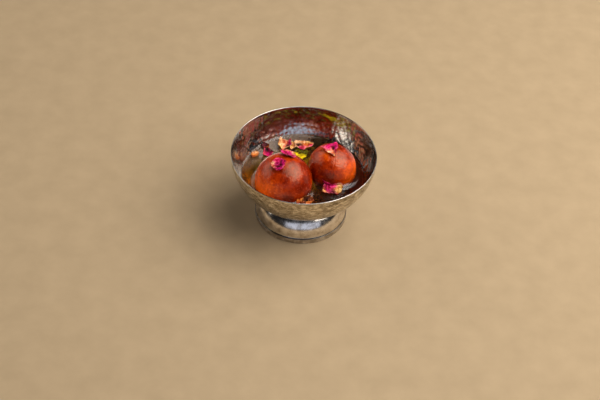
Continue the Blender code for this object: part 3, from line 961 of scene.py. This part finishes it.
papery = dried_petal()
LARGE = DUMPLINGS["jamun_large"]
SMALL = DUMPLINGS["jamun_small"]
PETALS = [  # the solid that each stands for, its slot, and the petal
    ("petal_crown", "rose_petal", petal("petal_crown_dried", (-18.2, -16.6), -20, 10.5, 10.5, [
        (0.1, 0.0, "cream"), (0.9, 0.1, "salmon"), (-0.8, 0.30, "hot"), (0.0, 0.4, "magenta"),
        (0.3, 0.75, "crimson"), (-0.5, 0.8, "magenta"), (0.8, 0.8, "magenta"), (0.0, 1.0, "magenta"),
    ], LARGE, tip=0.75, point=0.10, cup_up=1.0, curl=1.2, crumple=0.8, phase=0.4)),
    ("petal_ridge", "rose_petal", petal("petal_ridge_dried", (-11.8, -4.7), -40, 13.0, 9.0, [
        (0.0, 0.0, "magenta"), (0.8, 0.2, "hot"), (-1.0, 0.3, "salmon"), (-1.0, 0.7, "cream"),
        (0.2, 0.5, "magenta"), (-0.5, 0.5, "magenta"), (0.8, 0.8, "crimson"), (0.2, 0.9, "magenta"),
    ], LARGE, tip=0.7, cup_up=1.2, curl=0.6, crumple=0.6, phase=1.9, lift=1.0)),
    ("petal_triangle", "rose_petal", petal("petal_triangle_dried", (20.2, 5.5), 112, 12.5, 13.5, [
        (0.0, 0.0, "butter"), (-0.9, 0.4, "cream"), (-0.9, 0.8, "pink"), (0.1, 0.35, "salmon"),
        (0.5, 0.6, "crimson"), (0.9, 0.5, "magenta"), (0.9, 0.95, "hot"), (0.2, 1.0, "magenta"),
        (-0.3, 0.75, "hot"),
    ], SMALL, base=0.10, straight=0.8, tip=1.0, point=0.16, cup_up=1.3, curl=1.0, crumple=0.5, phase=3.0)),
    # painted shade: petal_cream's crimson patch paints the shade inside its curl
    ("petal_cream", "cream_petal", petal("petal_cream_dried", (-15.3, 32.1), 78, 9.5, 10.5, [
        (-0.8, 0.2, "butter"), (-0.9, 0.8, "cream"), (0.0, 0.4, "salmon"), (0.0, 0.9, "salmon"),
        (0.6, 0.5, "crimson"), (0.9, 0.8, "magenta"), (0.5, 0.0, "cream"), (-0.4, 0.6, "cream"),
    ], tip=0.8, point=0.15, cup_up=2.4, curl=2.0, crumple=0.5, phase=0.9, rim="cream")),
    ("petal_double", "cream_petal", petal("petal_double_dried", (-0.7, 33.6), 94, 8.5, 15.5, [
        (-0.95, 0.5, "cream"), (-0.6, 1.0, "cream"), (-0.5, 0.55, "brown"), (-0.5, 0.1, "magenta"),
        (0.0, 0.9, "cream"), (0.3, 0.6, "orange"), (0.6, 1.0, "butter"), (1.0, 0.5, "hot"),
        (0.6, 0.1, "salmon"), (0.0, 0.2, "pink"),
    ], tip=0.8, pinch=0.5, cup_up=1.2, curl=1.6, fold=1.2, crumple=0.4, phase=2.2, rim="cream")),
    ("petal_maroon", "maroon_petal", petal("petal_maroon_dried", (-29.9, 29.8), 60, 5.5, 6.5, [
        (-0.7, 0.3, "maroon"), (0.0, 0.8, "maroon"), (0.6, 0.4, "orange"), (0.9, 0.8, "russet"),
        (0.2, 0.3, "crimson"),
    ], tip=0.7, cup_up=1.8, curl=0.8, crumple=0.3, phase=1.2, rim="maroon")),
    ("petal_side", "rose_petal", petal("petal_side_dried", (-27.4, 22.6), -75, 9.0, 7.6, [
        (0.0, 0.1, "maroon"), (-0.6, 0.5, "crimson"), (0.2, 0.5, "magenta"), (1.0, 0.7, "pink"),
        (0.2, 0.8, "magenta"), (-0.7, 0.9, "magenta"),
    ], tip=0.8, cup_up=1.2, curl=0.8, crumple=0.4, phase=0.2, lift=0.6)),
    ("petal_scrap", "russet_scrap", petal("petal_scrap_dried", (-37.2, 19.0), 40, 7.0, 5.5, [
        (0.0, 0.5, "orange"), (-0.6, 0.8, "cream"), (0.7, 0.3, "russet"), (0.0, 0.0, "brown"),
    ], tip=0.6, cup_up=1.0, curl=1.0, crumple=0.5, phase=2.7, rim="orange")),
    ("petal_front", "rose_petal", petal("petal_front_dried", (22.8, -12.9), 172, 14.0, 13.0, [
        (0.2, 0.05, "butter"), (-0.4, 0.2, "butter"), (0.8, 0.25, "cream"), (0.1, 0.5, "hot"),
        (0.8, 0.7, "hot"), (0.3, 0.8, "magenta"), (-0.8, 0.5, "crimson"), (-0.5, 0.75, "magenta"),
        (-0.9, 0.95, "butter"),
    ], tip=0.8, point=0.15, cup_up=1.0, curl=1.2, fold=1.0, crumple=0.8, phase=1.4, lean=3.8)),
    ("russet_scrap", "russet_scrap", petal("russet_scrap_dried", (2.6, -29.6), 10, 12.5, 7.5, [
        (-0.6, 0.2, "orange"), (0.5, 0.4, "russet"), (-0.3, 0.6, "brown"), (0.6, 0.8, "orange"),
        (0.9, 0.1, "salmon"), (0.0, 0.9, "russet"),
    ], tip=0.7, cup_up=0.8, curl=0.8, crumple=1.0, phase=0.7, lean=-2.6, rim="russet")),
    (None, "cream_petal", petal("petal_fin_dried", (-9.0, 31.5), 80, 6.0, 5.0, [
        (0.0, 0.0, "cream"), (-0.5, 0.6, "butter"), (0.6, 0.6, "cream"), (0.0, 1.0, "butter"),
    ], tip=0.4, cup_up=1.6, curl=2.0, crumple=0.3, phase=4.1, rim="cream")),
    (None, "cream_petal", petal("petal_soaked", (-2.4, 25.0), 88, 14.0, 11.0, [
        (0.0, 0.0, "yellow"), (0.6, 0.15, "yellow"), (-0.6, 0.3, "yellow"), (0.0, 0.6, "olive"),
        (0.8, 0.6, "olive"), (0.0, 0.95, "olive"), (-0.8, 0.9, "olive"),
    ], tip=0.7, cup_up=0.6, curl=0.2, crumple=0.4, phase=5.2, rim="olive", sunk=(21.0, 32.0, 1.6))),
]
for node, finish, piece in PETALS:
    piece.data.materials.append(papery)
    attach(piece, "root")
    if node:
        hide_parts(node)

# ---------------------------------------------------------------------------------------------
# The studio: a plain pale straw-coloured table in a dark room. Four softboxes stand on the right, from
# low in front to high up, a wide weak one on the left, and a cool window low in front of the table.
# ---------------------------------------------------------------------------------------------
TABLE_HALF = 1.5  # half its side, in metres
TABLE_TONES = [(0.3, (0.36, 0.26, 0.145)), (0.7, (0.40, 0.29, 0.165))]
bm = bmesh.new()
bmesh.ops.create_grid(bm, x_segments=1, y_segments=1, size=TABLE_HALF)
mesh = bpy.data.meshes.new("table")
bm.to_mesh(mesh)
bm.free()
table = new_piece("table", mesh)
material, tree, shader, where = new_material("pale_table")
set_inputs(tree, shader, {
    "Base Color": ramp_of(tree, clouds_of(tree, where, 60.0, 4.0), TABLE_TONES),
    "Roughness": 0.85,
})
mesh.materials.append(material)

KEY_COLOUR = (1.0, 0.96, 0.92)
FILL_COLOUR = (1.0, 0.95, 0.90)
WINDOW_COLOUR = (0.71, 0.78, 1.0)
ROOM_COLOUR = (0.02, 0.02, 0.022, 1.0)


def softbox(name, azimuth, elevation, distance, width, height, strength, colour):
    """An even rectangular light that faces the bowl; azimuth runs from the far side round to the right."""
    turn, tilt = math.radians(azimuth), math.radians(elevation)
    way = Vector((math.sin(turn) * math.cos(tilt), math.cos(turn) * math.cos(tilt), math.sin(tilt)))
    light = bpy.data.lights.new(name, "AREA")
    light.shape = "RECTANGLE"
    light.size = width
    light.size_y = height
    light.energy = strength * 4 * width * height  # so a softbox of any size is equally bright to look at
    light.color = colour
    made = bpy.data.objects.new(name, light)
    made.location = way * distance + Vector((0, 0, SYRUP_LEVEL))
    made.rotation_mode = "QUATERNION"
    made.rotation_quaternion = way.to_track_quat("Z", "Y")
    made.visible_camera = False
    bpy.context.scene.collection.objects.link(made)


softbox("key_right", 96, 42, 1.3, 1.0, 0.90, 2.2, KEY_COLOUR)
softbox("key_behind", 64, 51, 1.2, 1.05, 1.05, 2.45, KEY_COLOUR)
softbox("key_above", 80, 78, 1.3, 1.2, 0.70, 2.0, KEY_COLOUR)
softbox("key_front", 120, 46, 1.3, 0.7, 0.75, 2.2, KEY_COLOUR)
softbox("fill_left", -72, 28, 1.4, 1.5, 0.80, 1.35, FILL_COLOUR)
softbox("window_low", 172, 15, 1.4, 2.4, 0.68, 0.62, WINDOW_COLOUR)

world = bpy.data.worlds.new("dark_room")
bpy.context.scene.world = world
world.use_nodes = True
world.node_tree.nodes["Background"].inputs["Color"].default_value = ROOM_COLOUR

CAMERA_PLACE = Vector((-0.000895, -0.715609, 0.698125))
CAMERA_RIGHT = Vector((0.99824, 0.04105, 0.04280))
CAMERA_UP = Vector((-0.05931, 0.69092, 0.72049))
lens = bpy.data.cameras.new("camera")
lens.lens = 78.0
lens.sensor_width = 36.0
camera = bpy.data.objects.new("camera", lens)
back = CAMERA_RIGHT.cross(CAMERA_UP).normalized()
right = CAMERA_RIGHT.normalized()
camera.matrix_world = Matrix((right, back.cross(right), back)).transposed().to_4x4()
camera.location = CAMERA_PLACE
bpy.context.scene.collection.objects.link(camera)
bpy.context.scene.camera = camera
bpy.context.scene.view_settings.view_transform = "Standard"
